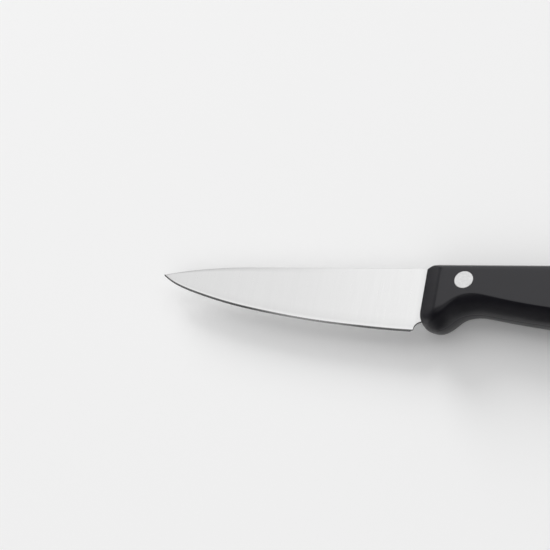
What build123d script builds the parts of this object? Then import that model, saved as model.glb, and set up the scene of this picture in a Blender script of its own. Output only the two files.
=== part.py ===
from build123d import *
import math
import os

# A paring knife lying on its side: a ground steel blade with a tang inside, two moulded
# handle scales that close round the tang, and three two-piece rivets through all of them.
#
# Lengths are in millimetres. The knife is drawn with X from the blade's point to the butt,
# X = 0 at the front of the handle, Y = 0 along the spine with the cutting edge towards -Y,
# and Z = 0 on the mid-plane of the blade. At the end every piece is moved so that the
# origin lies under the middle of the knife, on the surface that it rests on.

# Driving sizes of the blade
blade_length = 90.8
blade_height = 21.25
blade_thickness = 1.5
tip_thickness = 0.45
tip_width = 0.3
tip_drop = 2.8
shoulder_thickness = 0.62
tip_shoulder_thickness = 0.36
bevel_thickness = 0.40
tip_bevel_thickness = 0.24
bevel_height = 1.9
edge_height = 0.62

# Driving sizes of the notch between the heel of the edge and the handle, and of the small cut
# that blunts the heel's corner
notch_radius = 2.7
notch_top = 17.9
notch_start = 0.2
heel_cut_length = 0.9
heel_cut_rise = 0.55

# Driving sizes of the tang, whose full thickness starts a root_inset inside the handle
root_inset = 0.9
root_depth = 2.4
root_corner_radius = 0.8
tang_end_margin = 18.0
tang_height = 9.8
tang_corner_radius = 3.0

# Driving sizes of the handle
handle_length = 107.2
handle_thickness = 15.0
guard_depth = 20.75
guard_round_length = 4.9
guard_round_rise = 3.0
crown_round = 2.7
belly_round = 3.2
back_drop = 1.5
front_top_length = 2.3
front_top_drop = 0.8
butt_depth = 23.0
butt_top_length = 9.0
butt_top_drop = 5.6
butt_hook_length = 5.2
butt_hook_rise = 7.2
front_lip = 3.4
front_chamfer_length = 5.55
front_blend_radius = 1.6
butt_edge_radius = 3.6

# Driving sizes of the rivets
rivet_head_diameter = 5.75
rivet_head_depth = 2.2
rivet_sleeve_diameter = 4.2
rivet_pin_diameter = 2.6
rivet_setback = 13.15
rivet_drop = 7.3
rear_rivet_margin = 8.0
rivet_line_fall = 1.8
rivet_end_gap = 0.6
rivet_names = ("front", "middle", "rear")

# Clearances, the overrun of every cutting solid, and the step that lets two surfaces that are
# nearly tangent still cross each other cleanly
tang_clearance = 0.08
mouth_clearance = 0.03
head_clearance = 0.03
sleeve_clearance = 0.05
pin_clearance = 0.02
overrun = 2.0
blend_step = 0.05

# Where the drop of the spine to the point starts, and how sharply it bends down
spine_drop_start_share = 0.357
spine_drop_power = 2.3

# The cutting edge from the point to the heel: the distance from the handle as a share of
# blade_length, and the depth below the spine as a share of blade_height
edge_shares = (
    (0.982, 0.200), (0.960, 0.260), (0.931, 0.322), (0.890, 0.392), (0.837, 0.468),
    (0.772, 0.551), (0.693, 0.638), (0.604, 0.718), (0.504, 0.794), (0.395, 0.864),
    (0.276, 0.922), (0.157, 0.969), (0.078, 0.991), (0.029, 0.999), (0.000, 1.000),
)

# The belly of the handle behind the guard: the distance from the front as a share of
# handle_length, the depth as a share of guard_depth, and how far the flat side's edge lies
# above the belly as a share of belly_round
belly_shares = (
    (0.060, 0.982, 0.890), (0.075, 0.936, 0.960), (0.091, 0.858, 0.990), (0.110, 0.784, 1.030),
    (0.131, 0.746, 1.060), (0.153, 0.731, 1.050), (0.184, 0.745, 1.010), (0.230, 0.785, 0.930),
    (0.282, 0.828, 0.850), (0.338, 0.870, 0.800), (0.422, 0.925, 0.780), (0.534, 0.967, 0.780),
    (0.645, 0.958, 0.780), (0.739, 0.925, 0.780), (0.814, 0.912, 0.780), (0.869, 0.946, 0.800),
    (0.911, 1.018, 0.820),
)
guard_round_share = 0.82
butt_round_share = 0.82
guard_turns = (0.0, 14.0, 30.0, 48.0, 68.0, 90.0)
butt_turns = (0.0, 25.0, 50.0, 70.0, 90.0)
back_drop_start_share = 0.5
front_top_power = 1.4
section_rise_share = 0.06

# Sizes that follow from the driving ones
half_blade = blade_thickness / 2
half_handle = handle_thickness / 2
tang_length = handle_length - tang_end_margin
rivet_pitch = (tang_length - rear_rivet_margin - rivet_setback) / (len(rivet_names) - 1)
tang_fall_angle = math.degrees(math.atan2(rivet_line_fall, 2 * rivet_pitch))
knife_middle = (handle_length - blade_length) / 2
knife_depth = max(blade_height, butt_depth)
place = Location((-knife_middle, knife_depth / 2, half_handle))


def spine_drop(share):
    """How far the spine lies below its straight line, at this share of the blade's length."""
    bend = max(0.0, (share - 1 + spine_drop_start_share) / spine_drop_start_share)
    return tip_drop * bend ** spine_drop_power


def between(start, end, share):
    """The value that lies this share of the way from start to end."""
    return start + (end - start) * share


def shoulder_rise(height):
    """How far the shoulder lies above the edge where the blade has this height."""
    return bevel_height * height / (height + bevel_height)


def blade_section(x, top, bottom, share):
    """One cross-section of the blade: two flat grinds, two shoulders and a sharp edge."""
    height = top - bottom
    bevel_up = edge_height * height / (height + edge_height)
    taper = share ** 2
    spine_half = between(blade_thickness, tip_thickness, taper) / 2
    shoulder_half = between(shoulder_thickness, tip_shoulder_thickness, taper) / 2
    bevel_half = between(bevel_thickness, tip_bevel_thickness, taper) / 2
    side = [
        (top, spine_half),
        (bottom + shoulder_rise(height), shoulder_half),
        (bottom + bevel_up, bevel_half),
        (bottom, 0.0),
    ]
    other = [(y, -z) for y, z in reversed(side[:-1])]
    plane = Plane(origin=(x, 0, 0), x_dir=(0, 1, 0), z_dir=(1, 0, 0))
    return plane * make_face(Polyline(*side, *other, close=True))


def tang_outline(clearance):
    """The tang's plan, a straight bar along the line of rivets, grown by the clearance."""
    front = root_depth / 2
    length = tang_length - front + clearance
    bar = Rectangle(length, tang_height + 2 * clearance, align=(Align.MIN, Align.CENTER))
    rear = bar.vertices().group_by(Axis.X)[-1]
    bar = fillet(rear, tang_corner_radius + clearance)
    turn = Location((rivet_setback, -rivet_drop, 0), (0, 0, -tang_fall_angle))
    return turn * Location((front - rivet_setback, 0, 0)) * bar


def root_outline(clearance):
    """The plan of the blade's full-height root, which sits just inside the handle's front."""
    start = root_inset - clearance
    length = root_depth + clearance - start
    root = Rectangle(length, notch_top + clearance, align=(Align.MIN, Align.MAX))
    root = fillet(root.vertices().group_by(Axis.X)[-1].sort_by(Axis.Y)[0], root_corner_radius)
    return Location((start, 0, 0)) * root


def neck(start, clearance):
    """The ground blade where it enters the handle, from start to the root, grown by the clearance."""
    share = notch_top / (blade_height - shoulder_rise(blade_height))
    low_half = between(half_blade, shoulder_thickness / 2, share)
    corners = [
        (clearance, half_blade + clearance),
        (-notch_top - clearance, low_half + clearance),
        (-notch_top - clearance, -low_half - clearance),
        (clearance, -half_blade - clearance),
    ]
    plane = Plane(origin=(start, 0, 0), x_dir=(0, 1, 0), z_dir=(1, 0, 0))
    return extrude(plane * make_face(Polyline(*corners, close=True)), root_inset - start)


def rivet_places():
    """The three rivets' centres, along a line that falls slightly towards the butt."""
    return [
        (rivet_setback + rivet_pitch * i, -rivet_drop - rivet_line_fall * i / 2)
        for i in range(len(rivet_names))
    ]


def cylinder_at(spot, radius, low, high):
    """An upright cylinder at a rivet's centre, between two heights."""
    x, y = spot
    return extrude(Location((x, y, low)) * Circle(radius), high - low)


def heel_cut():
    """The plan of the slanted cut that blunts the corner between the edge and the notch."""
    slope = heel_cut_rise / heel_cut_length
    start = notch_start - notch_radius - heel_cut_length
    end = notch_start - notch_radius / 2
    corners = [
        (start - overrun / slope, -blade_height - overrun),
        (end, -blade_height - overrun),
        (end, -blade_height + (end - start) * slope),
    ]
    return make_face(Polyline(*corners, close=True))


def make_blade():
    """The blade, its heel notch, and the tang with its rivet holes."""
    sections = [blade_section(-blade_length, -tip_drop, -tip_drop - tip_width, 1.0)]
    for share, depth_share in edge_shares:
        top = -spine_drop(share)
        sections.append(blade_section(-blade_length * share, top, -blade_height * depth_share, share))
    blade = loft(sections)

    notch = Location((notch_start, -notch_top - notch_radius, 0)) * Circle(notch_radius)
    blade -= extrude(notch, blade_thickness, both=True)
    blade -= extrude(heel_cut(), blade_thickness, both=True)

    blade += neck(0.0, 0.0)
    blade += extrude(root_outline(0.0) + tang_outline(0.0), half_blade, both=True)
    for spot in rivet_places():
        radius = rivet_sleeve_diameter / 2 + sleeve_clearance
        blade -= cylinder_at(spot, radius, -blade_thickness, blade_thickness)
    return blade


def sagitta_radius(rise):
    """The radius of an arc that rises this much over the handle's half thickness."""
    return (half_handle ** 2 + rise ** 2) / (2 * rise)


def handle_section(x, top, bottom, belly_rise):
    """One cross-section of the upper scale, from the mid-plane to above its flat side."""
    crown = sagitta_radius(crown_round)
    belly = sagitta_radius(belly_rise)

    def crown_at(z):
        return top - (crown - math.sqrt(crown ** 2 - z ** 2))

    def belly_at(z):
        return bottom + (belly - math.sqrt(belly ** 2 - z ** 2))

    high = half_handle * (1 + section_rise_share)
    middle = high / 2
    plane = Plane(origin=(x, 0, 0), x_dir=(0, 1, 0), z_dir=(1, 0, 0))
    edges = [
        ThreePointArc((top, 0), (crown_at(middle), middle), (crown_at(high), high)),
        Line((crown_at(high), high), (belly_at(high), high)),
        ThreePointArc((belly_at(high), high), (belly_at(middle), middle), (bottom, 0)),
        Line((bottom, 0), (top, 0)),
    ]
    return plane * make_face(edges)


def back_line(x):
    """The top of the handle: a rounded front corner, a straight run, and a slow fall to the butt."""
    start = handle_length * back_drop_start_share
    fall = max(0.0, (x - start) / (handle_length - start))
    front = max(0.0, 1 - x / front_top_length)
    line = -back_drop * fall ** 2 - front_top_drop * front ** front_top_power
    corner = max(0.0, (x - handle_length + butt_top_length) / butt_top_length)
    return line - butt_top_drop * (1 - math.sqrt(max(0.0, 1 - corner ** 2)))


def handle_sections():
    """All cross-sections of the upper scale, from the guard's front to the butt."""
    sections = []
    for turn in guard_turns:
        x = guard_round_length * (1 - math.cos(math.radians(turn)))
        depth = guard_depth - guard_round_rise * (1 - math.sin(math.radians(turn)))
        sections.append(handle_section(x, back_line(x), -depth, belly_round * guard_round_share))
    for share, depth_share, round_share in belly_shares:
        x = handle_length * share
        depth = guard_depth * depth_share
        sections.append(handle_section(x, back_line(x), -depth, belly_round * round_share))
    for turn in butt_turns:
        x = handle_length - butt_hook_length * (1 - math.sin(math.radians(turn)))
        depth = butt_depth - butt_hook_rise * (1 - math.cos(math.radians(turn)))
        sections.append(handle_section(x, back_line(x), -depth, belly_round * butt_round_share))
    return sections


def side_profile():
    """The handle seen from its spine: a front chamfer that blends into the flat, and a rounded butt."""
    high = half_handle + blend_step
    slope = (half_handle - front_lip) / front_chamfer_length
    corners = [
        (-overrun, -overrun * slope - overrun),
        (-overrun, front_lip - overrun * slope),
        ((high - front_lip) / slope, high),
        (handle_length + blend_step, high),
        (handle_length + blend_step, -overrun * slope - overrun),
    ]
    profile = make_face(Polyline(*corners, close=True))
    top = profile.vertices().group_by(Axis.Y)[-1].sort_by(Axis.X)
    profile = fillet(top[0], front_blend_radius)
    top = profile.vertices().group_by(Axis.Y)[-1].sort_by(Axis.X)
    profile = fillet(top[-1], butt_edge_radius)
    return Plane.XZ * profile


def make_scale():
    """The upper scale, with its tang pocket and its counterbored rivet holes."""
    scale = loft(handle_sections())
    slab = Rectangle(4 * handle_length, 4 * handle_length)
    scale = scale & extrude(slab, half_handle)
    scale = scale & extrude(side_profile(), handle_length, both=True)
    pocket = root_outline(tang_clearance) + tang_outline(tang_clearance)
    scale -= extrude(pocket, half_blade)
    scale -= neck(-overrun, mouth_clearance)
    for spot in rivet_places():
        hole = rivet_sleeve_diameter / 2 + sleeve_clearance
        head = rivet_head_diameter / 2 + head_clearance
        scale -= cylinder_at(spot, hole, -overrun, half_handle)
        scale -= cylinder_at(spot, head, half_handle - rivet_head_depth, half_handle + overrun)
    return scale


def make_sleeve(spot):
    """The tubular half of a rivet, with its head in the upper scale."""
    seat = half_handle - rivet_head_depth
    head = cylinder_at(spot, rivet_head_diameter / 2, seat, half_handle)
    tube = cylinder_at(spot, rivet_sleeve_diameter / 2, -seat + rivet_end_gap, seat)
    bore = cylinder_at(spot, rivet_pin_diameter / 2 + pin_clearance, -seat, seat)
    return head + tube - bore


def make_pin(spot):
    """The solid half of a rivet, with its head in the lower scale."""
    seat = half_handle - rivet_head_depth
    head = cylinder_at(spot, rivet_head_diameter / 2, -half_handle, -seat)
    pin = cylinder_at(spot, rivet_pin_diameter / 2, -seat, seat - rivet_end_gap)
    return head + pin


def make_pieces():
    """Every piece of the knife by name."""
    scale = make_scale()
    pieces = {
        "blade": make_blade(),
        "upper_scale": scale,
        "lower_scale": mirror(scale, Plane.XY),
    }
    for name, spot in zip(rivet_names, rivet_places()):
        pieces[f"{name}_rivet_sleeve"] = make_sleeve(spot)
        pieces[f"{name}_rivet_pin"] = make_pin(spot)
    return pieces


os.makedirs("parts", exist_ok=True)
for name, piece in make_pieces().items():
    export_step(place * piece, f"parts/{name}.step")
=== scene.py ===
import logging
import math
from collections.abc import Callable, Sequence
from dataclasses import dataclass, field
from enum import Enum

import bmesh
import bpy
import numpy as np
from mathutils import Matrix, Vector


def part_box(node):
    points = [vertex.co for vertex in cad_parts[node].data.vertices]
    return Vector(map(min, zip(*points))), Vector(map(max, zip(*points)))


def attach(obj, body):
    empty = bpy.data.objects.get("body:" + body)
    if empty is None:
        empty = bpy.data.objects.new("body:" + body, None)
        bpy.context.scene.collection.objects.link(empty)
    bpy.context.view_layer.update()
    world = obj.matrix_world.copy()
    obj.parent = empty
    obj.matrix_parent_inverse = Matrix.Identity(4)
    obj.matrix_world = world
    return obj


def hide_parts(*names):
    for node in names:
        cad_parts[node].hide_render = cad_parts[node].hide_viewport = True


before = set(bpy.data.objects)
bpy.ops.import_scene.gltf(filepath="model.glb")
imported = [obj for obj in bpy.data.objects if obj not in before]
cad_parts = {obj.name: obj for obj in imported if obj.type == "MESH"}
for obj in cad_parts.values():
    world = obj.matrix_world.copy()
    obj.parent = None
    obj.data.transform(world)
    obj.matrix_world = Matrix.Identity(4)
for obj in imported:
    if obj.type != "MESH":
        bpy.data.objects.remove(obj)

# A paring knife on its side. Every shape is drawn with X along the knife and X = 0 at the front
# of the handle, Y = 0 along the spine, and Z = 0 on the blade's mid-plane. KnifeFrame then puts
# it where the construction has it. Sizes are in metres, written as millimetres times MM.

MM = 0.001
BLACK = (0.0, 0.0, 0.0)
NOISE_SPAN = (0.3, 0.7)
NOISE_ROUGHNESS = 0.6
MIX_FIRST, MIX_SECOND, MIX_RESULT = 6, 7, 2
log = logging.getLogger("paring_knife")

Pair = tuple[float, float]
Triple = tuple[float, float, float]
Curve = Callable[[float], float]


class Side(Enum):
    """The two sides of the blade's mid-plane."""

    UPPER = 1
    LOWER = -1


class BladeZone(Enum):
    """The zones of the blade, by the number of their finish."""

    FACE = 0
    HONED = 1
    CUT = 2


class RivetHalf(Enum):
    """The two halves of a rivet, by the side of the knife that shows their head."""

    SLEEVE = "sleeve"
    PIN = "pin"


class Change(Enum):
    """What one solid does to another."""

    CUT = "DIFFERENCE"
    JOIN = "UNION"


class Slope(Enum):
    """How a value goes from one end of a range to the other."""

    SMOOTH = "SMOOTHSTEP"
    STRAIGHT = "LINEAR"


def between(start: float, end: float, share: float) -> float:
    """Return the value that lies this share of the way from start to end."""
    return start + (end - start) * share


def ease(value: float, low: float, high: float) -> float:
    """Rise smoothly from 0 to 1 between two values.

    Args:
        value: Where to read the rise.
        low: The value at which it starts.
        high: The value at which it ends.

    Returns:
        A number from 0 to 1.
    """
    share = min(1.0, max(0.0, (value - low) / (high - low)))
    return share * share * (3.0 - 2.0 * share)


def smooth_curve(places: Sequence[float], values: Sequence[float]) -> Curve:
    """Make a smooth curve through some points, level at both of its ends.

    Args:
        places: Where the points lie, in rising order.
        values: The curve's value at each place.

    Returns:
        A function that reads the curve at any place.
    """
    x = np.array(places, float)
    y = np.array(values, float)
    step = np.diff(x)
    rise = np.diff(y) / step
    count = len(x)
    matrix = np.eye(count)
    right = np.zeros(count)
    for i in range(1, count - 1):
        matrix[i, i - 1] = step[i]
        matrix[i, i] = 2.0 * (step[i - 1] + step[i])
        matrix[i, i + 1] = step[i - 1]
        right[i] = 3.0 * (rise[i - 1] * step[i] + rise[i] * step[i - 1])
    slope = np.linalg.solve(matrix, right)

    def read(place: float) -> float:
        """Read the curve at one place."""
        i = int(np.clip(np.searchsorted(x, place) - 1, 0, count - 2))
        t = float(np.clip((place - x[i]) / step[i], 0.0, 1.0))
        a = y[i] * (1 + 2 * t) * (1 - t) ** 2 + y[i + 1] * t * t * (3 - 2 * t)
        b = step[i] * (slope[i] * t * (1 - t) ** 2 - slope[i + 1] * t * t * (1 - t))
        return float(a + b)

    return read


@dataclass(frozen=True)
class KnifeFrame:
    """Where the drawing of the knife lies in the construction's own frame."""

    front: float
    spine: float
    middle: float

    @classmethod
    def from_nodes(cls) -> "KnifeFrame":
        """Read the place from the upper handle scale, whose front, top and base are the zeros."""
        low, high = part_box("upper_scale")
        return cls(low.x, high.y, low.z)

    def matrix(self) -> Matrix:
        """Return the move from the drawing to the construction's frame."""
        return Matrix.Translation((self.front, self.spine, self.middle))


class Solid:
    """Helpers that turn rows of points into closed meshes and cut them."""

    @staticmethod
    def from_faces(
        name: str, points: Sequence[Sequence[float]], faces: Sequence[Sequence[int]],
    ) -> bpy.types.Object:
        """Make an object from points and faces, with its faces turned outwards.

        Args:
            name: The object's name.
            points: The corner points.
            faces: The corners of each face, by number.

        Returns:
            The new object, linked to the scene.
        """
        mesh = bpy.data.meshes.new(name)
        mesh.from_pydata([tuple(map(float, p)) for p in points], [], [tuple(f) for f in faces])
        body = bmesh.new()
        body.from_mesh(mesh)
        bmesh.ops.recalc_face_normals(body, faces=body.faces)
        body.to_mesh(mesh)
        body.free()
        made = bpy.data.objects.new(name, mesh)
        bpy.context.scene.collection.objects.link(made)
        return made

    @classmethod
    def from_rings(cls, name: str, rings: Sequence[np.ndarray]) -> bpy.types.Object:
        """Skin a row of closed rings that have the same number of points, and cap both ends.

        Args:
            name: The object's name.
            rings: The rings, each an array of points in order.

        Returns:
            The closed object.
        """
        count = len(rings[0])
        points = np.concatenate(rings)
        faces = []
        for row in range(len(rings) - 1):
            for i in range(count):
                j = (i + 1) % count
                a, b = row * count, (row + 1) * count
                faces.append((a + i, a + j, b + j, b + i))
        faces.append(tuple(range(count)))
        last = (len(rings) - 1) * count
        faces.append(tuple(range(last + count - 1, last - 1, -1)))
        return cls.from_faces(name, points, faces)

    @classmethod
    def from_outline(cls, name: str, outline: Sequence[Pair], low: float, high: float) -> bpy.types.Object:
        """Raise a flat outline between two heights."""
        rings = [np.array([(x, y, z) for x, y in outline]) for z in (low, high)]
        return cls.from_rings(name, rings)

    @classmethod
    def lathe(cls, name: str, profile: Sequence[Pair], centre: Pair, steps: int = 96) -> bpy.types.Object:
        """Turn a profile of radius and height round an upright axis.

        Args:
            name: The object's name.
            profile: Radius and height of each ring, from one end to the other.
            centre: Where the axis stands.
            steps: How many points go round.

        Returns:
            The closed object.
        """
        turns = np.linspace(0.0, 2.0 * math.pi, steps, endpoint=False)
        rings = []
        for radius, height in profile:
            x = centre[0] + radius * np.cos(turns)
            y = centre[1] + radius * np.sin(turns)
            rings.append(np.stack([x, y, np.full(steps, height)], axis=1))
        return cls.from_rings(name, rings)

    @staticmethod
    def combine(target: bpy.types.Object, tool: bpy.types.Object, change: Change) -> None:
        """Join a tool to a target or cut it away, and delete the tool.

        Args:
            target: The object that is changed.
            tool: The object that changes it.
            change: Whether the tool is cut away or joined.
        """
        step = target.modifiers.new("combine", "BOOLEAN")
        step.operation = change.value
        step.solver = "EXACT"
        step.object = tool
        graph = bpy.context.evaluated_depsgraph_get()
        graph.update()
        mesh = bpy.data.meshes.new_from_object(target.evaluated_get(graph))
        target.modifiers.remove(step)
        unused = (target.data, tool.data)
        target.data = mesh
        bpy.data.objects.remove(tool)
        for old in unused:
            bpy.data.meshes.remove(old)

    @staticmethod
    def mirror(target: bpy.types.Object) -> None:
        """Mirror an object through the blade's mid-plane."""
        target.data.transform(Matrix.Scale(-1.0, 4, (0.0, 0.0, 1.0)))
        target.data.flip_normals()

    @staticmethod
    def shade(target: bpy.types.Object, crease_degrees: float) -> None:
        """Shade an object smoothly, except across edges that turn more than this angle."""
        for face in target.data.polygons:
            face.use_smooth = True
        target.data.set_sharp_from_angle(angle=math.radians(crease_degrees))


class NodeBench:
    """A short way to lay out the nodes of one material or world."""

    def __init__(self, tree: bpy.types.NodeTree) -> None:
        """Start on a tree with nothing in it."""
        self.tree = tree
        tree.nodes.clear()

    @classmethod
    def for_material(
        cls, name: str, kind: str, **settings: object,
    ) -> tuple[bpy.types.Material, "NodeBench", bpy.types.Node]:
        """Start a material whose surface is one shader.

        Args:
            name: The material's name.
            kind: The shader's type name.
            settings: The shader's options and socket values.

        Returns:
            The material, its bench and its shader.
        """
        made = bpy.data.materials.new(name)
        made.use_nodes = True
        bench = cls(made.node_tree)
        shader = bench.add(kind, **settings)
        bench.join(shader, 0, bench.add("ShaderNodeOutputMaterial"), "Surface")
        return made, bench, shader

    def add(self, kind: str, **settings: object) -> bpy.types.Node:
        """Add a node and set its options and socket values.

        Args:
            kind: The node's type name.
            settings: Option names, or socket names with their spaces as underscores.

        Returns:
            The new node.
        """
        node = self.tree.nodes.new(kind)
        for key, value in settings.items():
            if hasattr(node, key):
                setattr(node, key, value)
            else:
                node.inputs[key.replace("_", " ")].default_value = value
        return node

    def join(
        self, source: bpy.types.Node, out: str | int, target: bpy.types.Node, into: str | int,
    ) -> None:
        """Link one node's output to another node's input."""
        self.tree.links.new(source.outputs[out], target.inputs[into])

    def mix(self, first: Triple, second: Triple) -> bpy.types.Node:
        """Add a mix of two colours, whose share goes into its first input."""
        node = self.add("ShaderNodeMix", data_type="RGBA")
        node.inputs[MIX_FIRST].default_value = (*first, 1.0)
        node.inputs[MIX_SECOND].default_value = (*second, 1.0)
        return node

    def stretched_noise(self, scale: Triple, detail: float) -> bpy.types.Node:
        """Add noise with its own scale along each axis of the knife.

        Args:
            scale: How many cells there are in a metre, along X, Y and Z.
            detail: How many finer layers the noise has.

        Returns:
            The noise node.
        """
        place = self.add("ShaderNodeTexCoord")
        spread = self.add("ShaderNodeMapping", Scale=scale)
        noise = self.add("ShaderNodeTexNoise", Scale=1.0, Detail=detail, Roughness=NOISE_ROUGHNESS)
        self.join(place, "Object", spread, "Vector")
        self.join(spread, "Vector", noise, "Vector")
        return noise

    def ranged(
        self, source: bpy.types.Node, out: str | int, inside: Pair, outside: Pair,
        slope: Slope = Slope.SMOOTH,
    ) -> bpy.types.Node:
        """Map a value from one range to another, and hold it at both ends.

        Args:
            source: The node with the value.
            out: Which of its outputs to read.
            inside: The range that is read.
            outside: The range that comes out.
            slope: How the value goes from one end to the other.

        Returns:
            The range node.
        """
        spread = self.add("ShaderNodeMapRange", interpolation_type=slope.value)
        for socket, value in zip(("From Min", "From Max", "To Min", "To Max"), (*inside, *outside)):
            spread.inputs[socket].default_value = value
        self.join(source, out, spread, "Value")
        return spread

    def spread_noise(self, noise: bpy.types.Node, low: float, high: float) -> bpy.types.Node:
        """Spread the middle of a noise over a range of values."""
        return self.ranged(noise, 0, NOISE_SPAN, (low, high), Slope.STRAIGHT)


@dataclass(frozen=True)
class GroundSteel:
    """Steel with fine straight grinding lines in one direction."""

    name: str
    colour: Triple
    roughness: float
    roughness_spread: float
    anisotropy: float
    hairline_scale: Triple
    streak_scale: Triple
    streak_shade: float
    bump_height: float
    grain_axis: Triple
    hairline_detail: float = 3.0
    streak_detail: float = 4.0

    def material(self) -> bpy.types.Material:
        """Build the material.

        Returns:
            The finished material.
        """
        made, bench, steel = NodeBench.for_material(
            self.name, "ShaderNodeBsdfPrincipled", Metallic=1.0, Anisotropic=self.anisotropy,
        )
        hairlines = bench.stretched_noise(self.hairline_scale, self.hairline_detail)
        streaks = bench.stretched_noise(self.streak_scale, self.streak_detail)
        tint = bench.mix(tuple(c * (1.0 - self.streak_shade) for c in self.colour), self.colour)
        bench.join(bench.spread_noise(streaks, 0.0, 1.0), 0, tint, 0)
        # Light and shade painted into the steel: a point attribute, 0 to 1, darkens the colour towards
        # black; pieces without it keep their colour.
        painted_light_and_shade = bench.add("ShaderNodeAttribute", attribute_name="painted_light_and_shade")
        darker = bench.mix(self.colour, BLACK)
        bench.join(painted_light_and_shade, "Fac", darker, 0)
        bench.join(tint, MIX_RESULT, darker, MIX_FIRST)
        bench.join(darker, MIX_RESULT, steel, "Base Color")

        smoothest = self.roughness - self.roughness_spread
        rough = bench.spread_noise(hairlines, smoothest, self.roughness + self.roughness_spread)
        bench.join(rough, 0, steel, "Roughness")
        bump = bench.add("ShaderNodeBump", Strength=1.0, Distance=self.bump_height)
        bench.join(hairlines, 0, bump, "Height")
        bench.join(bump, "Normal", steel, "Normal")
        along = bench.add("ShaderNodeCombineXYZ", **dict(zip("XYZ", self.grain_axis)))
        bench.join(along, 0, steel, "Tangent")
        return made


@dataclass(frozen=True)
class MouldedPlastic:
    """Dark moulded plastic with a satin skin and a faint unevenness."""

    name: str
    colour: Triple
    roughness: float
    roughness_spread: float
    specular: float
    grain_scale: float
    grain_height: float
    wave_scale: float
    wave_height: float
    cloud_shade: float
    wave_detail: float = 5.0
    grain_detail: float = 2.0

    def material(self) -> bpy.types.Material:
        """Build the material.

        Returns:
            The finished material.
        """
        made, bench, skin = NodeBench.for_material(
            self.name, "ShaderNodeBsdfPrincipled", Specular_IOR_Level=self.specular,
        )
        clouds = bench.stretched_noise((self.wave_scale,) * 3, self.wave_detail)
        tint = bench.mix(self.colour, tuple(c * (1.0 + self.cloud_shade) for c in self.colour))
        bench.join(bench.spread_noise(clouds, 0.0, 1.0), 0, tint, 0)
        bench.join(tint, MIX_RESULT, skin, "Base Color")
        smoothest = self.roughness - self.roughness_spread
        rough = bench.spread_noise(clouds, smoothest, self.roughness + self.roughness_spread)
        bench.join(rough, 0, skin, "Roughness")

        grain = bench.stretched_noise((self.grain_scale,) * 3, self.grain_detail)
        fine = bench.add("ShaderNodeBump", Strength=1.0, Distance=self.grain_height)
        broad = bench.add("ShaderNodeBump", Strength=1.0, Distance=self.wave_height)
        bench.join(grain, 0, fine, "Height")
        bench.join(clouds, 0, broad, "Height")
        bench.join(broad, "Normal", fine, "Normal")
        bench.join(fine, "Normal", skin, "Normal")
        return made


GRIND = GroundSteel(
    name="blade_ground_face", colour=(0.97, 0.97, 0.97), roughness=0.30, roughness_spread=0.03,
    anisotropy=0.45, hairline_scale=(9000.0, 110.0, 400.0), streak_scale=(900.0, 45.0, 60.0),
    streak_shade=0.022, bump_height=0.0000012, grain_axis=(0.0, 1.0, 0.0),
)
HONED = GroundSteel(
    name="blade_honed_edge", colour=(0.85, 0.85, 0.86), roughness=0.22, roughness_spread=0.06,
    anisotropy=0.2, hairline_scale=(16000.0, 500.0, 500.0), streak_scale=(900.0, 300.0, 300.0),
    streak_shade=0.12, bump_height=0.000001, grain_axis=(1.0, 0.0, 0.0),
)
# The notch's cut wall: its rougher finish is the steel's own; its near-black colour is painted shade for
# the dark that the wall reflects.
SHADED_CUT_EDGE = GroundSteel(
    name="blade_cut_edge_painted_shade", colour=(0.16, 0.16, 0.165), roughness=0.45, roughness_spread=0.05,
    anisotropy=0.0, hairline_scale=(3000.0, 3000.0, 900.0), streak_scale=(900.0, 900.0, 300.0),
    streak_shade=0.15, bump_height=0.000002, grain_axis=(1.0, 0.0, 0.0),
)
RIVET_FACE = GroundSteel(
    name="rivet_ground_head", colour=(0.74, 0.74, 0.74), roughness=0.34, roughness_spread=0.06,
    anisotropy=0.2, hairline_scale=(2500.0, 7000.0, 700.0), streak_scale=(1300.0, 1900.0, 900.0),
    streak_shade=0.16, bump_height=0.000003, grain_axis=(1.0, 0.0, 0.0),
)
HANDLE_SKIN = MouldedPlastic(
    name="handle_satin_plastic", colour=(0.0068, 0.0064, 0.0092), roughness=0.31, roughness_spread=0.03,
    specular=0.51, grain_scale=7000.0, grain_height=0.000006, wave_scale=260.0,
    wave_height=0.00003, cloud_shade=0.25,
)


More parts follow.
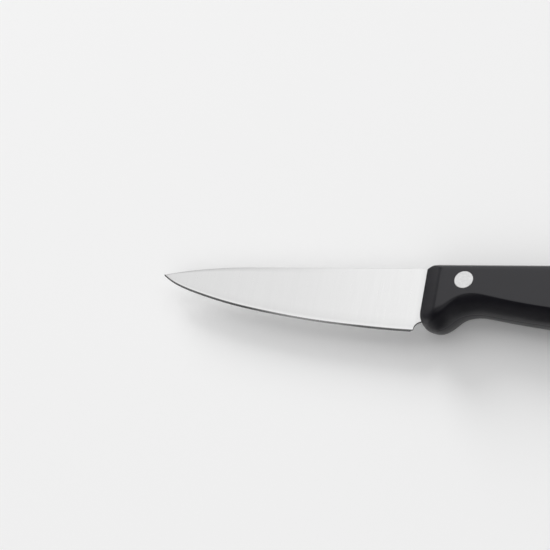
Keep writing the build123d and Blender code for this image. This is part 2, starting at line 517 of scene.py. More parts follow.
@dataclass
class HandleShape:
    """The outer form that both handle scales share."""

    length: float = 107.2 * MM
    half_thickness: float = 7.5 * MM
    guard_depth: float = 20.75 * MM
    guard_round_length: float = 4.9 * MM
    guard_round_rise: float = 3.0 * MM
    crown_rise: float = 2.7 * MM
    belly_rise: float = 3.2 * MM
    back_drop: float = 1.5 * MM
    back_drop_start_share: float = 0.5
    front_top_length: float = 2.3 * MM
    front_top_drop: float = 0.8 * MM
    front_top_power: float = 1.4
    butt_depth: float = 23.0 * MM
    butt_top_length: float = 9.0 * MM
    butt_top_drop: float = 5.6 * MM
    butt_hook_length: float = 5.2 * MM
    butt_hook_rise: float = 7.2 * MM
    butt_edge_radius: float = 3.6 * MM
    front_lip: float = 3.4 * MM
    front_chamfer_length: float = 5.55 * MM
    front_blend_radius: float = 1.6 * MM
    crown_edge_round: float = 1.0 * MM
    crease_round: float = 0.14 * MM
    guard_crease_round: float = 2.3 * MM
    guard_crease_end: float = 14.0 * MM
    butt_crease_round: float = 1.6 * MM
    butt_crease_start: float = 12.0 * MM
    butt_crease_end: float = 1.0 * MM
    widest_round_share: float = 0.45
    seam_round: float = 0.07 * MM
    seam_bend_share: float = 0.35
    seam_end_share: float = 1.5
    arc_steps: int = 12
    round_steps: int = 7
    flat_steps: int = 16
    guard_steps: int = 22
    middle_steps: int = 130
    butt_steps: int = 20
    end_round_share: float = 0.82
    belly_shares: tuple[Triple, ...] = (
        (0.060, 0.982, 0.890), (0.075, 0.936, 0.960), (0.091, 0.858, 0.990), (0.110, 0.784, 1.030),
        (0.131, 0.746, 1.060), (0.153, 0.731, 1.050), (0.184, 0.745, 1.010), (0.230, 0.785, 0.930),
        (0.282, 0.828, 0.850), (0.338, 0.870, 0.800), (0.422, 0.925, 0.780), (0.534, 0.967, 0.780),
        (0.645, 0.958, 0.780), (0.739, 0.925, 0.780), (0.814, 0.912, 0.780), (0.869, 0.946, 0.800),
        (0.911, 1.018, 0.820),
    )

    def __post_init__(self) -> None:
        """Lay the smooth curves of the belly and of its rounding through the table of shares."""
        hook_start = self.length - self.butt_hook_length
        end_rise = self.belly_rise * self.end_round_share
        rows = [(self.guard_round_length, self.guard_depth, end_rise)]
        for place, depth, rise in self.belly_shares:
            rows.append((self.length * place, self.guard_depth * depth, self.belly_rise * rise))
        rows.append((hook_start, self.butt_depth, end_rise))
        places, depths, rises = zip(*rows)
        self.belly_curve = smooth_curve(places, depths)
        self.rise_curve = smooth_curve(places, rises)

    def top(self, x: float) -> float:
        """Return the height of the handle's back at this distance from its front."""
        start = self.length * self.back_drop_start_share
        fall = max(0.0, (x - start) / (self.length - start))
        corner = max(0.0, (x - self.length + self.butt_top_length) / self.butt_top_length)
        round_off = self.butt_top_drop * (1.0 - math.sqrt(max(0.0, 1.0 - corner**2)))
        front = self.front_top_drop * max(0.0, 1.0 - x / self.front_top_length) ** self.front_top_power
        return -self.back_drop * fall**2 - round_off - front

    def bottom(self, x: float) -> float:
        """Return the height of the belly on the mid-plane.

        Args:
            x: The distance from the handle's front.

        Returns:
            A height, which is negative.
        """
        if x < self.guard_round_length:
            reach = math.sqrt(max(0.0, 1.0 - (1.0 - x / self.guard_round_length) ** 2))
            return -self.guard_depth + self.guard_round_rise * (1.0 - reach)
        hook = (x - self.length + self.butt_hook_length) / self.butt_hook_length
        if hook > 0.0:
            return -self.butt_depth + self.butt_hook_rise * (1.0 - math.sqrt(max(0.0, 1.0 - hook**2)))
        return -self.belly_curve(x)

    def side(self, x: float) -> float:
        """Return how far the handle's side stands out from the mid-plane.

        Args:
            x: The distance from the handle's front.

        Returns:
            The half thickness there.
        """
        full = self.half_thickness
        slope = (full - self.front_lip) / self.front_chamfer_length
        tangent = self.front_blend_radius * math.tan(math.atan(slope) / 2.0)
        start = self.front_chamfer_length - tangent * math.cos(math.atan(slope))
        end = self.front_chamfer_length + tangent
        if x < start:
            return self.front_lip + slope * x
        if x < end:
            return full - self.front_blend_radius + math.sqrt(self.front_blend_radius**2 - (end - x) ** 2)
        radius = self.butt_edge_radius
        past = x - self.length + radius
        if past > 0.0:
            return full - radius + math.sqrt(max(0.0, radius**2 - past**2))
        return full

    def crease(self, x: float) -> float:
        """Return how widely the edge between the flat side and the belly is rounded."""
        guard = 1.0 - ease(x, self.guard_round_length / 2.0, self.guard_crease_end)
        butt = ease(x, self.length - self.butt_crease_start, self.length - self.butt_crease_end)
        wide = max(guard * self.guard_crease_round, butt * self.butt_crease_round)
        return max(self.crease_round, wide)

    def stations(self) -> list[float]:
        """List the distances at which the handle is sectioned, closest where it bends most.

        Returns:
            The distances from the handle's front, in rising order.
        """
        hook_start = self.length - self.butt_hook_length
        turns = np.radians(np.linspace(0.0, 90.0, self.guard_steps))
        guard = self.guard_round_length * (1.0 - np.cos(turns))
        middle = np.linspace(self.guard_round_length, hook_start, self.middle_steps)[1:]
        turns = np.radians(np.linspace(0.0, 90.0, self.butt_steps))[1:]
        butt = hook_start + self.butt_hook_length * np.sin(turns)
        return [float(x) for x in np.concatenate([guard, middle, butt])]

    def section(self, x: float) -> np.ndarray:
        """Draw one half section, from the seam on the back round to the seam on the belly.

        Args:
            x: The distance from the handle's front.

        Returns:
            Points as an array of x, y and z.
        """
        top, bottom, side = self.top(x), self.bottom(x), self.side(x)
        rise = self.rise_curve(x)
        half = self.half_thickness
        crown = (half**2 + self.crown_rise**2) / (2 * self.crown_rise)
        belly = (half**2 + rise**2) / (2 * rise)

        def on_crown(z: float) -> Pair:
            """Return the point of the back's arc at this height."""
            return top - (crown - math.sqrt(crown**2 - z**2)), z

        def on_belly(z: float) -> Pair:
            """Return the point of the belly's arc at this height."""
            return bottom + (belly - math.sqrt(belly**2 - z**2)), z

        widest = self.widest_round_share * side
        edge = min(self.crown_edge_round, widest)
        crease = min(self.crease(x), widest)
        seam = self.seam_round
        bend = self.seam_bend_share * seam
        seam_end = self.seam_end_share * seam
        points = [(top - seam, 0.0), (top - bend, bend)]
        points += [on_crown(z) for z in np.linspace(seam_end, side - edge, self.arc_steps)]
        crown_corner = on_crown(side)
        flat_start = (crown_corner[0] - edge, side)
        points += self.rounded(points[-1], crown_corner, flat_start)
        belly_corner = on_belly(side)
        flat_end = (belly_corner[0] + crease, side)
        points += [(float(y), side) for y in np.linspace(flat_start[0], flat_end[0], self.flat_steps)[1:]]
        points += self.rounded(flat_end, belly_corner, on_belly(side - crease))
        points += [on_belly(z) for z in np.linspace(side - crease, seam_end, self.flat_steps)[1:]]
        points += [(bottom + bend, bend), (bottom + seam, 0.0)]
        return np.array([(x, y, z) for y, z in points])

    def rounded(self, start: Pair, corner: Pair, end: Pair) -> list[Pair]:
        """Round a corner with a smooth curve.

        Args:
            start: Where the curve leaves the first side.
            corner: The corner itself.
            end: Where the curve meets the second side.

        Returns:
            The curve's points after start, its end among them.
        """
        shares = np.linspace(0.0, 1.0, self.round_steps + 1)[1:, None]
        weights = ((1 - shares) ** 2, 2 * shares * (1 - shares), shares**2)
        curve = sum(weight * np.array(place) for weight, place in zip(weights, (start, corner, end)))
        return [(float(y), float(z)) for y, z in curve]


@dataclass
class TangShape:
    """The plan of the tang and of the blade's root, which the scales close round."""

    half_thickness: float = 0.75 * MM
    root_depth: float = 2.4 * MM
    root_height: float = 17.9 * MM
    length: float = 89.2 * MM
    height: float = 9.8 * MM
    corner_radius: float = 3.0 * MM
    corner_steps: int = 10
    centre_drop: float = 7.3 * MM
    line_fall: float = 1.8 * MM
    rivet_setback: float = 13.15 * MM
    rear_rivet_margin: float = 8.0 * MM
    rivet_count: int = 3

    @property
    def rivet_pitch(self) -> float:
        """Return the distance between neighbouring rivets along the handle."""
        return (self.length - self.rear_rivet_margin - self.rivet_setback) / (self.rivet_count - 1)

    def rivet_places(self) -> list[Pair]:
        """Return the centres of the rivets, from front to rear."""
        return [
            (self.rivet_setback + self.rivet_pitch * i, -self.centre_drop - self.line_fall * i / 2.0)
            for i in range(self.rivet_count)
        ]

    def outline(self, clearance: float) -> list[Pair]:
        """Draw the tang's bar along the line of rivets.

        Args:
            clearance: How much the outline is grown.

        Returns:
            The corner points, with the rear corners rounded.
        """
        start = self.root_depth / 2.0
        end = self.length + clearance
        half = self.height / 2.0 + clearance
        radius = self.corner_radius + clearance
        points = [(start, -half)]
        for corner, first in ((-half + radius, -90), (half - radius, 0)):
            for turn in np.radians(np.linspace(first, first + 90, self.corner_steps)):
                points.append((end - radius + radius * math.cos(turn), corner + radius * math.sin(turn)))
        points.append((start, half))
        fall = math.atan2(self.line_fall, 2.0 * self.rivet_pitch)
        turned = []
        for x, y in points:
            along = x - self.rivet_setback
            turned.append((
                self.rivet_setback + along * math.cos(fall) + y * math.sin(fall),
                -self.centre_drop - along * math.sin(fall) + y * math.cos(fall),
            ))
        return turned

    def root(self, front: float, clearance: float) -> list[Pair]:
        """Draw the full-height root of the blade, from front to just inside the handle."""
        rear = self.root_depth + clearance
        low = -self.root_height - clearance
        return [(front, low), (rear, low), (rear, clearance), (front, clearance)]


@dataclass
class Blade:
    """The blade: two flat grinds from the spine, a bevel, a honed edge and the tang; its steel has painted
    light and shade.
    """

    tang: TangShape
    length: float = 90.8 * MM
    height: float = 21.25 * MM
    thickness: float = 1.5 * MM
    tip_thickness: float = 0.45 * MM
    tip_width: float = 0.3 * MM
    tip_drop: float = 2.8 * MM
    shoulder_thickness: float = 0.62 * MM
    tip_shoulder_thickness: float = 0.36 * MM
    bevel_thickness: float = 0.40 * MM
    tip_bevel_thickness: float = 0.24 * MM
    bevel_height: float = 1.9 * MM
    edge_height: float = 0.62 * MM
    bend_share: float = 1.35
    bend_power: float = 1.7
    face_steps: int = 9
    spine_bend_share: float = 0.3
    ring_steps: int = 130
    root_inset: float = 0.9 * MM
    neck_share: float = 1.5
    root_share: float = 0.998
    bar_share: float = 0.999
    mouth_clearance: float = 0.03 * MM
    spine_round: float = 0.16 * MM
    notch_radius: float = 2.7 * MM
    notch_top: float = 17.9 * MM
    notch_start: float = 0.2 * MM
    notch_steps: int = 60
    heel_cut_length: float = 0.9 * MM
    heel_cut_rise: float = 0.55 * MM
    hole_radius: float = 2.15 * MM
    spine_drop_start_share: float = 0.357
    spine_drop_power: float = 2.3
    honed_normal: float = 0.975
    cut_normal: float = 0.2
    smooth_degrees: float = 8.0
    # The fields from here to handle_shade_width set the light and shade painted into the blade's colour.
    honed_shade: float = 0.80
    honed_fade: float = 0.12
    honed_front: Pair = (0.42, 0.66)
    honed_rear: Pair = (0.20, 0.30)
    honed_rear_share: float = 0.5
    line_share: float = 1.25
    line_width: float = 0.7 * MM
    line_shade: float = 0.035
    face_shade: float = 0.157
    heel_highlight: float = 0.035
    heel_highlight_fade: Pair = (0.10, 0.60)
    strip_share: float = 0.35
    spine_shade: float = 0.34
    spine_line_width: float = 0.4 * MM
    spine_line_start: float = 0.25
    handle_shade: float = 0.14
    handle_shade_width: float = 2.6 * MM
    edge_shares: tuple[Pair, ...] = (
        (0.982, 0.200), (0.960, 0.260), (0.931, 0.322), (0.890, 0.392), (0.837, 0.468),
        (0.772, 0.551), (0.693, 0.638), (0.604, 0.718), (0.504, 0.794), (0.395, 0.864),
        (0.276, 0.922), (0.157, 0.969), (0.078, 0.991), (0.029, 0.999), (0.000, 1.000),
    )

    def spine_drop(self, share: float) -> float:
        """Return how far the spine has dropped at this share of the blade's length."""
        bend = max(0.0, (share - 1.0 + self.spine_drop_start_share) / self.spine_drop_start_share)
        return self.tip_drop * bend**self.spine_drop_power

    def rises(self, height: float) -> Pair:
        """Return how far the shoulder and the honed strip's top lie above the edge."""
        shoulder = self.bevel_height * height / (height + self.bevel_height)
        return shoulder, self.edge_height * height / (height + self.edge_height)

    def station(self, x: float, edge: Curve) -> Triple:
        """Read the blade at one place along it.

        Args:
            x: The place, which is negative before the handle.
            edge: The curve of the cutting edge.

        Returns:
            The share of the blade's length, the depth of the edge and the blade's height.
        """
        share = min(1.0, max(0.0, -x / self.length))
        depth = edge(math.sqrt(1.0 - share))
        return share, depth, depth - self.spine_drop(share)

    def edge_curve(self) -> Curve:
        """Lay a smooth curve through the table of the edge.

        Returns:
            The depth of the edge as a function of the square root of the share from the tip.
        """
        places, depths = [0.0], [self.tip_drop + self.tip_width]
        for share, depth in self.edge_shares:
            places.append(math.sqrt(1.0 - share))
            depths.append(self.height * depth)
        return smooth_curve(places, depths)

    def ring(self, share: float, edge_depth: float) -> np.ndarray:
        """Draw one closed section of the blade.

        Args:
            share: The distance from the handle as a share of the blade's length.
            edge_depth: How far the edge lies below the spine's straight line.

        Returns:
            Points as an array of x, y and z.
        """
        top, bottom = -self.spine_drop(share), -edge_depth
        height = top - bottom
        shoulder_up, bevel_up = self.rises(height)
        taper = share**2
        spine = between(self.thickness, self.tip_thickness, taper) / 2.0
        shoulder = between(self.shoulder_thickness, self.tip_shoulder_thickness, taper) / 2.0
        bevel = between(self.bevel_thickness, self.tip_bevel_thickness, taper) / 2.0
        soft = min(self.spine_round, self.spine_bend_share * height)
        turned = self.spine_bend_share * soft
        start = bottom + self.bend_share * shoulder_up
        bend_half = between(spine, shoulder, (top - start) / (height - shoulder_up))
        shares = [float(t) for t in np.linspace(0.0, 1.0, self.face_steps)]
        side = [(top, spine - soft), (top - turned, spine - turned)]
        side += [(between(top - soft, start, t), between(spine, bend_half, t)) for t in shares]
        side += [
            (between(start, bottom + bevel_up, t), between(bend_half, bevel, t**self.bend_power))
            for t in shares[1:]
        ]
        side.append((bottom, 0.0))
        other = [(y, -z) for y, z in reversed(side[:-1])]
        x = -self.length * share
        return np.array([(x, y, z) for y, z in side + other])

    def mouth(self, reach: float) -> bpy.types.Object:
        """Build the shape that a scale's front leaves open for the ground blade.

        Args:
            reach: How far the shape stands out before the handle's front.

        Returns:
            The cutting tool.
        """
        ring = self.ring(0.0, self.height)
        ring[:, 2] += np.sign(ring[:, 2]) * self.mouth_clearance
        ring[:, 1] += np.where(ring[:, 1] > -self.height / 2.0, 1.0, 0.0) * self.mouth_clearance
        ring[:, 1] = np.maximum(ring[:, 1], -self.notch_top - self.mouth_clearance)
        rings = [ring - np.array([reach, 0.0, 0.0]), ring + np.array([2.0 * self.root_inset, 0.0, 0.0])]
        return Solid.from_rings("mouth", rings)

    def heel_cut(self) -> list[Pair]:
        """Draw the slanted cut that blunts the corner between the edge and the notch."""
        slope = self.heel_cut_rise / self.heel_cut_length
        start = self.notch_start - self.notch_radius - self.heel_cut_length
        end = self.notch_start - self.notch_radius / 2.0
        deep = self.height + self.notch_radius
        return [
            (start - self.notch_radius / slope, -deep),
            (end, -deep),
            (end, -self.height + (end - start) * slope),
        ]

    def build(self) -> bpy.types.Object:
        """Build the blade with its notch, its tang and the tang's rivet holes.

        Returns:
            The blade, still in the drawing's own place.
        """
        edge = self.edge_curve()
        places = [float(place) for place in np.linspace(0.0, 1.0, self.ring_steps)]
        rings = [self.ring(1.0 - place**2, edge(place)) for place in places]
        rings.append(rings[-1] + np.array([self.neck_share * self.root_inset, 0.0, 0.0]))
        blade = Solid.from_rings("blade_steel", rings)

        thick = 2.0 * self.thickness
        turns = np.linspace(0.5 * math.pi, 1.5 * math.pi, self.notch_steps)
        centre = (self.notch_start, -self.notch_top - self.notch_radius)
        notch = [
            (centre[0] + self.notch_radius * math.cos(a), centre[1] + self.notch_radius * math.sin(a))
            for a in turns
        ]
        rear = self.notch_start + 2.0 * self.notch_radius
        notch += [(rear, centre[1] - self.notch_radius), (rear, -self.notch_top)]
        Solid.combine(blade, Solid.from_outline("notch", notch, -thick, thick), Change.CUT)
        Solid.combine(blade, Solid.from_outline("heel", self.heel_cut(), -thick, thick), Change.CUT)

        half = self.tang.half_thickness * self.root_share
        root = Solid.from_outline("root", self.tang.root(self.root_inset, 0.0), -half, half)
        half *= self.bar_share
        bar = Solid.from_outline("bar", self.tang.outline(0.0), -half, half)
        Solid.combine(root, bar, Change.JOIN)
        for place in self.tang.rivet_places():
            hole = Solid.lathe("hole", [(self.hole_radius, -thick), (self.hole_radius, thick)], place)
            Solid.combine(root, hole, Change.CUT)
        Solid.combine(blade, root, Change.JOIN)
        return blade

    def paint_light_and_shade(self, blade: bpy.types.Object) -> None:
        """Paint light and shade into the blade's colour as a darkening from 0 to 1 at each point.

        Args:
            blade: The blade that build returned.
        """
        edge = self.edge_curve()
        mark = blade.data.attributes.new("painted_light_and_shade", "FLOAT", "POINT")
        for i, vertex in enumerate(blade.data.vertices):
            share, depth, height = self.station(vertex.co.x, edge)
            shoulder_up, bevel_up = self.rises(height)
            # Painted shade: a faint dark line just above the bevel's shoulder, where the face bends into
            # the bevel.
            from_line = (vertex.co.y + depth - self.line_share * shoulder_up) / self.line_width
            line = self.line_shade * math.exp(-(from_line**2)) * ease(height, 0.0, self.height)
            # Painted shade: the steel darkens within handle_shade_width of the handle's front, where the
            # handle shades the blade.
            near_handle = self.handle_shade * (1.0 - ease(-vertex.co.x, 0.0, self.handle_shade_width))
            above = (vertex.co.y + depth) / shoulder_up
            # Painted highlight: face_shade darkens the whole face but leaves the bevel strip bright, and
            # darkens it less towards the heel.
            face = self.face_shade - self.heel_highlight * (1.0 - ease(share, *self.heel_highlight_fade))
            strip = face * (1.0 - ease(above, self.strip_share, 1.0))
            # Painted shade: a thin dark line along the spine, strongest towards the tip and gone near the
            # handle.
            back = 1.0 - ease(-vertex.co.y - self.spine_drop(share), 0.0, self.spine_line_width)
            spine = self.spine_shade * back * ease(share, self.spine_line_start, 1.0)
            # Painted shade: the honed edge is darkened towards the tip and the heel and left light in the
            # middle, for the dark that its steep bevel reflects.
            rear = self.honed_rear_share * (1.0 - ease(share, *self.honed_rear))
            dark_edge_weight = max(ease(share, *self.honed_front), rear)
            honed_top = bevel_up / shoulder_up
            honed = self.honed_shade * dark_edge_weight * (1.0 - ease(above, honed_top, honed_top + self.honed_fade))
            mark.data[i].value = min(1.0, face - strip + line + near_handle + spine + honed)

    def zone(self, face: bpy.types.MeshPolygon, edge: Curve) -> BladeZone:
        """Tell which zone of the blade a face belongs to.

        Args:
            face: The face, in the drawing's own place.
            edge: The curve of the cutting edge.

        Returns:
            The zone.
        """
        _, depth, height = self.station(face.center.x, edge)
        _, bevel_up = self.rises(height)
        steep = abs(face.normal.z)
        if face.center.x < 0.0 and steep < self.honed_normal and face.center.y + depth < bevel_up:
            return BladeZone.HONED
        if steep < self.cut_normal and face.center.y < -self.notch_top + self.bevel_height:
            return BladeZone.CUT
        return BladeZone.FACE

    def dress(self, blade: bpy.types.Object) -> None:
        """Give each face of the blade the finish of its zone.

        Args:
            blade: The blade that build returned.
        """
        for finish in (GRIND, HONED, SHADED_CUT_EDGE):
            blade.data.materials.append(finish.material())
        edge = self.edge_curve()
        for face in blade.data.polygons:
            face.material_index = self.zone(face, edge).value
        self.paint_light_and_shade(blade)
        Solid.shade(blade, self.smooth_degrees)


@dataclass
class HandleScale:
    """One half of the handle, hollowed for the tang and bored for the rivets."""

    side: Side
    shape: HandleShape
    tang: TangShape
    blade: Blade
    clearance: float = 0.08 * MM
    hole_radius: float = 2.15 * MM
    head_radius: float = 2.905 * MM
    head_depth: float = 2.2 * MM
    overrun: float = 1.0 * MM
    slot_share: float = 1.1
    smooth_degrees: float = 24.0

    def build(self) -> bpy.types.Object:
        """Build the scale.

        Returns:
            The scale, still in the drawing's own place.
        """
        rings = [self.shape.section(x) for x in self.shape.stations()]
        name = f"{self.side.name.lower()}_scale_shell"
        scale = Solid.from_rings(name, rings)
        low, high = -self.overrun, self.tang.half_thickness
        pocket = Solid.from_outline("pocket", self.tang.outline(self.clearance), low, high)
        root = self.tang.root(self.blade.root_inset - self.clearance, self.clearance)
        slot = Solid.from_outline("slot", root, low * self.slot_share, high)
        for tool in (pocket, slot, self.blade.mouth(self.overrun)):
            Solid.combine(scale, tool, Change.CUT)
        seat = self.shape.half_thickness - self.head_depth
        past = self.shape.half_thickness + self.overrun
        for place in self.tang.rivet_places():
            for radius, start in ((self.hole_radius, low), (self.head_radius, seat)):
                bore = Solid.lathe("bore", [(radius, start), (radius, past)], place)
                Solid.combine(scale, bore, Change.CUT)
        if self.side is Side.LOWER:
            Solid.mirror(scale)
        return scale

    def dress(self, scale: bpy.types.Object, skin: bpy.types.Material) -> None:
        """Give the scale its plastic skin and its smooth shading."""
        scale.data.materials.append(skin)
        Solid.shade(scale, self.smooth_degrees)


@dataclass
class Rivet:
    """One half of a flush rivet, turned on a lathe."""

    half: RivetHalf
    centre: Pair
    head_radius: float = 2.875 * MM
    head_depth: float = 2.2 * MM
    head_edge: float = 0.13 * MM
    sleeve_radius: float = 2.1 * MM
    pin_radius: float = 1.3 * MM
    bore_radius: float = 1.32 * MM
    end_gap: float = 0.6 * MM
    half_thickness: float = 7.5 * MM
    face_shares: Triple = (0.002, 0.35, 0.7)
    rim_share: float = 0.3
    smooth_degrees: float = 20.0

    def profile(self) -> list[Pair]:
        """Draw the outside of the rivet half, from the head's face to the shank's end.

        Returns:
            Radius and height of each point.
        """
        radius, face, edge = self.head_radius, self.half_thickness, self.head_edge
        seat = face - self.head_depth
        end = -seat + self.end_gap
        shank = self.sleeve_radius if self.half is RivetHalf.SLEEVE else self.pin_radius
        middle = radius * self.face_shares[0]
        turned = self.rim_share * edge
        points = [(radius * share, face) for share in self.face_shares]
        points += [(radius - edge, face), (radius - turned, face - turned), (radius, face - edge)]
        points += [(radius, seat), (shank, seat), (shank, end)]
        if self.half is RivetHalf.PIN:
            return [*points, (middle, end)]
        return [*points, (self.bore_radius, end), (self.bore_radius, seat), (middle, seat)]

    def build(self, name: str) -> bpy.types.Object:
        """Turn the rivet half; a pin has its head in the lower scale.

        Args:
            name: The object's name.

        Returns:
            The rivet half, still in the drawing's own place.
        """
        made = Solid.lathe(name, self.profile(), self.centre)
        if self.half is RivetHalf.PIN:
            Solid.mirror(made)
        return made

    def dress(self, rivet: bpy.types.Object, steel: bpy.types.Material) -> None:
        """Give the rivet half its ground steel and keep its rim crisp."""
        rivet.data.materials.append(steel)
        Solid.shade(rivet, self.smooth_degrees)


@dataclass(frozen=True)
class RoundPanel:
    """A round soft light in the sky, bright in its middle and fading towards its rim."""

    direction: Triple
    bright_degrees: float
    fade_degrees: float
    strength: float

    def build(self, bench: NodeBench, sky: bpy.types.Node) -> bpy.types.Node:
        """Lay out the nodes of the panel's light.

        Args:
            bench: The world's node bench.
            sky: The node that gives the direction of each part of the sky.

        Returns:
            A node whose first output is the panel's brightness.
        """
        aim = Vector(self.direction).normalized()
        facing = bench.add("ShaderNodeVectorMath", operation="DOT_PRODUCT")
        facing.inputs[1].default_value = aim
        bench.join(sky, "Generated", facing, 0)
        rim = math.cos(math.radians(self.fade_degrees))
        middle = math.cos(math.radians(self.bright_degrees))
        return bench.ranged(facing, "Value", (rim, middle), (0.0, self.strength))


@dataclass(frozen=True)
class OverheadPanel:
    """A broad rectangular softbox overhead, with its front border just above the knife."""

    front_border: Pair = (-0.20, 0.10)
    low_border: Pair = (0.35, 0.80)
    span: Pair = (-1.0, 0.3)
    left_to_right: Pair = (0.73, 1.09)
    back_fade: Pair = (0.20, 0.65)
    back_share: float = 0.82
    strength: float = 1.255

    def build(self, bench: NodeBench, sky: bpy.types.Node) -> bpy.types.Node:
        """Lay out the nodes of the softbox.

        Args:
            bench: The world's node bench.
            sky: The node that gives the direction of each part of the sky.

        Returns:
            A node whose first output is the softbox's brightness.
        """
        parts = bench.add("ShaderNodeSeparateXYZ")
        bench.join(sky, "Generated", parts, 0)
        across = bench.ranged(parts, "Y", self.front_border, (0.0, self.strength))
        upward = bench.ranged(parts, "Z", self.low_border, (0.0, 1.0))
        along = bench.ranged(parts, "X", self.span, self.left_to_right, Slope.STRAIGHT)
        behind = bench.ranged(parts, "Y", self.back_fade, (1.0, self.back_share))
        total = across
        for share in (upward, along, behind):
            product = bench.add("ShaderNodeMath", operation="MULTIPLY")
            bench.join(total, 0, product, 0)
            bench.join(share, 0, product, 1)
            total = product
        return total


@dataclass(frozen=True)
class Softbox:
    """A round lamp that lights the table; the steel mirrors the panels in the sky instead."""

    name: str
    direction: Triple
    distance: float
    size: float
    power: float

    def build(self) -> bpy.types.Object:
        """Hang the lamp so that it faces the knife.

        Returns:
            The light.
        """
        data = bpy.data.lights.new(self.name, "AREA")
        data.shape = "DISK"
        data.size = self.size
        data.energy = self.power
        light = bpy.data.objects.new(self.name, data)
        bpy.context.scene.collection.objects.link(light)
        aim = Vector(self.direction).normalized()
        turn = aim.to_track_quat("Z", "Y").to_matrix().to_4x4()
        light.matrix_world = Matrix.Translation(aim * self.distance) @ turn
        light.visible_glossy = False
        return light


@dataclass(frozen=True)
class DarkCard:
    """A card beside the knife, paler at its foot, which only shows in the gloss of what lies near it."""

    name: str
    reach: Pair
    across: float
    height: float
    foot_shade: float
    foot_height: float
    shade: float = 0.03

    def build(self) -> bpy.types.Object:
        """Stand the card on the table, along the knife.

        Returns:
            The card, which only glossy rays see.
        """
        start, end = self.reach
        y, top = self.across, self.height
        corners = [(start, y, 0.0), (end, y, 0.0), (end, y, top), (start, y, top)]
        card = Solid.from_faces(self.name, corners, [(0, 1, 2, 3)])
        felt, bench, matt = NodeBench.for_material(f"{self.name}_felt", "ShaderNodeBsdfDiffuse")
        parts = bench.add("ShaderNodeSeparateXYZ")
        bench.join(bench.add("ShaderNodeTexCoord"), "Object", parts, 0)
        tone = bench.ranged(parts, "Z", (0.0, self.foot_height), (self.foot_shade, self.shade))
        bench.join(tone, 0, matt, "Color")
        card.data.materials.append(felt)
        card.visible_camera = False
        card.visible_diffuse = False
        card.visible_shadow = False
        card.visible_transmission = False
        return card


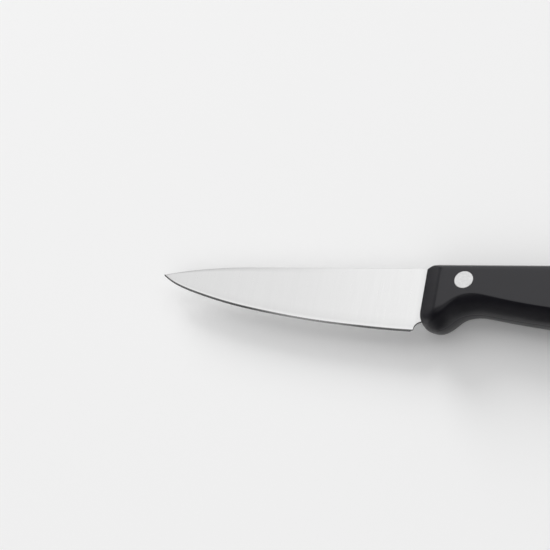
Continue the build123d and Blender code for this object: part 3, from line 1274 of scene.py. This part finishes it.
@dataclass
class Studio:
    """The pale table, the soft lights and the camera."""

    lens: float = 100.0
    sensor: float = 36.0
    distance: float = 485.35 * MM
    azimuth: float = 42.6425
    elevation: float = 54.0148
    roll: float = 36.1265
    aim: Triple = (-59.484 * MM, 8.926 * MM, 7.5 * MM)
    frame_pixels: int = 550
    shift_pixels: float = 0.5
    clip: Pair = (0.01, 50.0)
    floor_size: float = 6.0
    floor_colour: float = 0.88
    room: float = 0.10
    overhead: OverheadPanel = OverheadPanel()
    panels: tuple[RoundPanel, ...] = (
        RoundPanel((0.75, -0.60, 0.35), 10.0, 50.0, 0.35),
        RoundPanel((0.00, 0.90, 0.45), 15.0, 45.0, 0.95),
        RoundPanel((-0.86, 0.43, 0.30), 10.0, 38.0, 0.22),
        RoundPanel((0.10, -0.85, 0.50), 15.0, 56.0, 0.42),
    )
    lamps: tuple[Softbox, ...] = (
        Softbox("studio_key", (-0.42, 0.80, 0.42), 2.6, 1.2, 36.0),
        Softbox("studio_fill", (0.25, -0.60, 0.76), 2.6, 2.2, 14.5),
    )
    cards: tuple[DarkCard, ...] = (
        DarkCard("studio_belly_card", (-10.0 * MM, 125.0 * MM), -13.5 * MM, 22.0 * MM, 0.75, 16.0 * MM),
        DarkCard("studio_front_card", (-140.0 * MM, -20.0 * MM), 30.0 * MM, 10.0 * MM, 0.34, 13.0 * MM),
    )

    def add_camera(self) -> bpy.types.Object:
        """Set the camera at the photograph's angle.

        Returns:
            The camera, which is also made the scene's camera.
        """
        a, e = math.radians(self.azimuth), math.radians(self.elevation)
        back = Vector((math.sin(a) * math.cos(e), -math.cos(a) * math.cos(e), math.sin(e)))
        data = bpy.data.cameras.new("studio_camera")
        data.lens = self.lens
        data.sensor_width = self.sensor
        data.shift_x = -self.shift_pixels / self.frame_pixels
        data.shift_y = self.shift_pixels / self.frame_pixels
        data.clip_start, data.clip_end = self.clip
        camera = bpy.data.objects.new("studio_camera", data)
        bpy.context.scene.collection.objects.link(camera)
        level = (-back).to_track_quat("-Z", "Y").to_matrix().to_4x4()
        turn = Matrix.Rotation(-math.radians(self.roll), 4, "Z")
        place = Matrix.Translation(Vector(self.aim) + back * self.distance)
        camera.matrix_world = place @ level @ turn
        bpy.context.scene.camera = camera
        return camera

    def add_floor(self) -> bpy.types.Object:
        """Lay the pale table that the knife lies on.

        Returns:
            The floor.
        """
        half = self.floor_size / 2.0
        corners = [(-half, -half, 0.0), (half, -half, 0.0), (half, half, 0.0), (-half, half, 0.0)]
        floor = Solid.from_faces("studio_floor", corners, [(0, 1, 2, 3)])
        tone = (self.floor_colour, self.floor_colour, self.floor_colour, 1.0)
        paper, _, _ = NodeBench.for_material("studio_paper", "ShaderNodeBsdfDiffuse", Color=tone)
        floor.data.materials.append(paper)
        return floor

    def add_sky(self) -> bpy.types.World:
        """Light the scene with soft panels in a dim room.

        Returns:
            The world.
        """
        world = bpy.data.worlds.new("studio_light")
        bpy.context.scene.world = world
        world.use_nodes = True
        bench = NodeBench(world.node_tree)
        out = bench.add("ShaderNodeOutputWorld")
        light = bench.add("ShaderNodeBackground")
        bench.join(light, 0, out, "Surface")
        sky = bench.add("ShaderNodeTexCoord")
        total = bench.add("ShaderNodeMath", operation="ADD")
        total.inputs[1].default_value = self.room
        bench.join(self.overhead.build(bench, sky), 0, total, 0)
        for panel in self.panels:
            more = bench.add("ShaderNodeMath", operation="ADD")
            bench.join(total, 0, more, 0)
            bench.join(panel.build(bench, sky), 0, more, 1)
            total = more
        bench.join(total, 0, light, "Strength")
        return world

    def build(self) -> None:
        """Set up the table, the lights, the dark cards and the camera."""
        self.add_sky()
        self.add_floor()
        for maker in (*self.cards, *self.lamps):
            maker.build()
        self.add_camera()


@dataclass
class ParingKnife:
    """The whole knife, built from its blade outwards."""

    place: KnifeFrame
    tang: TangShape = field(default_factory=TangShape)
    shape: HandleShape = field(default_factory=HandleShape)

    def settle(self, made: bpy.types.Object, node: str) -> None:
        """Move a piece to its place and let it stand for its construction node.

        Args:
            made: The piece.
            node: The node that it stands for.
        """
        made.data.transform(self.place.matrix())
        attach(made, "root")
        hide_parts(node)
        low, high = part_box(node)
        faces = len(made.data.polygons)
        log.info("%s: %d faces, node %s, %.1f mm long", made.name, faces, node, (high.x - low.x) / MM)

    def build(self) -> None:
        """Build, dress and place every piece in order."""
        blade = Blade(self.tang)
        steel = blade.build()
        blade.dress(steel)
        self.settle(steel, "blade")

        skin = HANDLE_SKIN.material()
        for side in Side:
            scale = HandleScale(side, self.shape, self.tang, blade)
            shell = scale.build()
            scale.dress(shell, skin)
            self.settle(shell, f"{side.name.lower()}_scale")

        rivet_steel = RIVET_FACE.material()
        for name, centre in zip(("front", "middle", "rear"), self.tang.rivet_places()):
            for half in RivetHalf:
                rivet = Rivet(half, centre)
                made = rivet.build(f"{name}_rivet_{half.value}_steel")
                rivet.dress(made, rivet_steel)
                self.settle(made, f"{name}_rivet_{half.value}")


def main() -> None:
    """Build the studio and the knife; each piece logs its node's length."""
    logging.basicConfig(level=logging.INFO, format="%(name)s %(message)s")
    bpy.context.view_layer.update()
    bpy.context.scene.view_settings.view_transform = "Standard"
    Studio().build()
    ParingKnife(KnifeFrame.from_nodes()).build()


if __name__ == "__main__":
    main()
